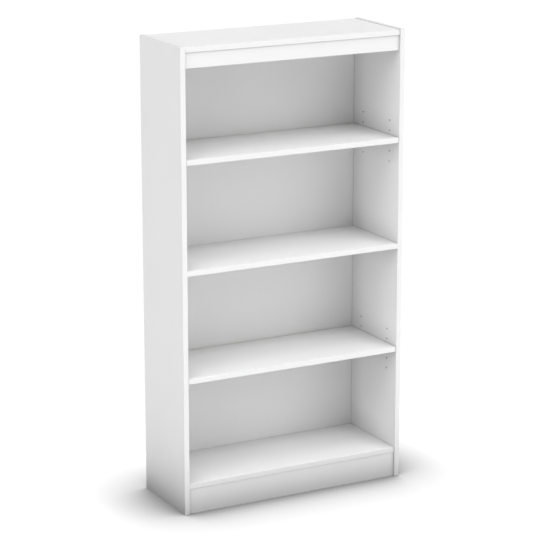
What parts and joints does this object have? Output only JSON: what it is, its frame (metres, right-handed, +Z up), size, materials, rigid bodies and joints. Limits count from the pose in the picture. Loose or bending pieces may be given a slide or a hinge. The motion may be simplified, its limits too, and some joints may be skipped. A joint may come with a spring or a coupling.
{
  "type": "bookcase",
  "caption": "Tall open bookcase of white laminated board with fixed and adjustable shelves on pull-out support pins, a top apron, a kick plate and a nailed back panel.",
  "frame": {"origin": "on the floor, at the middle of the overall box", "axes": "+Z up, +X to the right seen from the front, the open front faces -Y"},
  "size_m": [0.7556, 0.2794, 1.4288],
  "materials": {
    "white_laminated_board": "satin white melamine on both faces, raw particleboard on unbanded edges",
    "white_edge_band": "satin white edge band",
    "white_hardboard": "white-faced hardboard, raw brown fibre on the rear",
    "zinc_cam": "die-cast zinc",
    "plated_steel": "nickel-plated steel",
    "steel_nail": "galvanised steel",
    "beech_dowel": "bare beech"
  },
  "bodies": {
    "case": {"left_side_panel": "white_laminated_board", "right_side_panel": "white_laminated_board", "top_panel": "white_laminated_board", "top_apron": "white_laminated_board", "middle_fixed_shelf": "white_laminated_board", "bottom_shelf": "white_laminated_board", "kick_plate": "white_laminated_board", "back_panel": "white_hardboard", "left_side_front_band": "white_edge_band", "right_side_front_band": "white_edge_band", "left_side_top_band": "white_edge_band", "right_side_top_band": "white_edge_band", "top_panel_front_band": "white_edge_band", "top_apron_lower_band": "white_edge_band", "middle_fixed_shelf_front_band": "white_edge_band", "bottom_shelf_front_band": "white_edge_band", "top_panel_cams": "zinc_cam", "top_panel_cam_bolts": "plated_steel", "top_panel_dowels": "beech_dowel", "top_apron_cams": "zinc_cam", "top_apron_cam_bolts": "plated_steel", "top_apron_dowels": "beech_dowel", "middle_fixed_shelf_cams": "zinc_cam", "middle_fixed_shelf_cam_bolts": "plated_steel", "middle_fixed_shelf_dowels": "beech_dowel", "bottom_shelf_cams": "zinc_cam", "bottom_shelf_cam_bolts": "plated_steel", "bottom_shelf_dowels": "beech_dowel", "kick_plate_cams": "zinc_cam", "kick_plate_cam_bolts": "plated_steel", "kick_plate_dowels": "beech_dowel", "back_panel_nails": "steel_nail"},
    "upper_adjustable_shelf": {"upper_adjustable_shelf": "white_laminated_board", "upper_adjustable_shelf_front_band": "white_edge_band"},
    "lower_adjustable_shelf": {"lower_adjustable_shelf": "white_laminated_board", "lower_adjustable_shelf_front_band": "white_edge_band"},
    "left_upper_front_shelf_pin": {"left_upper_front_shelf_pin": "plated_steel"},
    "left_upper_rear_shelf_pin": {"left_upper_rear_shelf_pin": "plated_steel"},
    "right_upper_front_shelf_pin": {"right_upper_front_shelf_pin": "plated_steel"},
    "right_upper_rear_shelf_pin": {"right_upper_rear_shelf_pin": "plated_steel"},
    "left_lower_front_shelf_pin": {"left_lower_front_shelf_pin": "plated_steel"},
    "left_lower_rear_shelf_pin": {"left_lower_rear_shelf_pin": "plated_steel"},
    "right_lower_front_shelf_pin": {"right_lower_front_shelf_pin": "plated_steel"},
    "right_lower_rear_shelf_pin": {"right_lower_rear_shelf_pin": "plated_steel"}
  },
  "joints": [
    {"name": "upper_shelf_pull_out", "type": "slide", "parent": "case", "child": "upper_adjustable_shelf", "axis": [0, -1, 0], "range_m": [0, 0.3]},
    {"name": "lower_shelf_pull_out", "type": "slide", "parent": "case", "child": "lower_adjustable_shelf", "axis": [0, -1, 0], "range_m": [0, 0.3]},
    {"name": "left_upper_front_pin_pull", "type": "slide", "parent": "case", "child": "left_upper_front_shelf_pin", "axis": [1, 0, 0], "range_m": [0, 0.0115]},
    {"name": "left_upper_rear_pin_pull", "type": "slide", "parent": "case", "child": "left_upper_rear_shelf_pin", "axis": [1, 0, 0], "range_m": [0, 0.0115]},
    {"name": "right_upper_front_pin_pull", "type": "slide", "parent": "case", "child": "right_upper_front_shelf_pin", "axis": [-1, 0, 0], "range_m": [0, 0.0115]},
    {"name": "right_upper_rear_pin_pull", "type": "slide", "parent": "case", "child": "right_upper_rear_shelf_pin", "axis": [-1, 0, 0], "range_m": [0, 0.0115]},
    {"name": "left_lower_front_pin_pull", "type": "slide", "parent": "case", "child": "left_lower_front_shelf_pin", "axis": [1, 0, 0], "range_m": [0, 0.0115]},
    {"name": "left_lower_rear_pin_pull", "type": "slide", "parent": "case", "child": "left_lower_rear_shelf_pin", "axis": [1, 0, 0], "range_m": [0, 0.0115]},
    {"name": "right_lower_front_pin_pull", "type": "slide", "parent": "case", "child": "right_lower_front_shelf_pin", "axis": [-1, 0, 0], "range_m": [0, 0.0115]},
    {"name": "right_lower_rear_pin_pull", "type": "slide", "parent": "case", "child": "right_lower_rear_shelf_pin", "axis": [-1, 0, 0], "range_m": [0, 0.0115]}
  ]
}
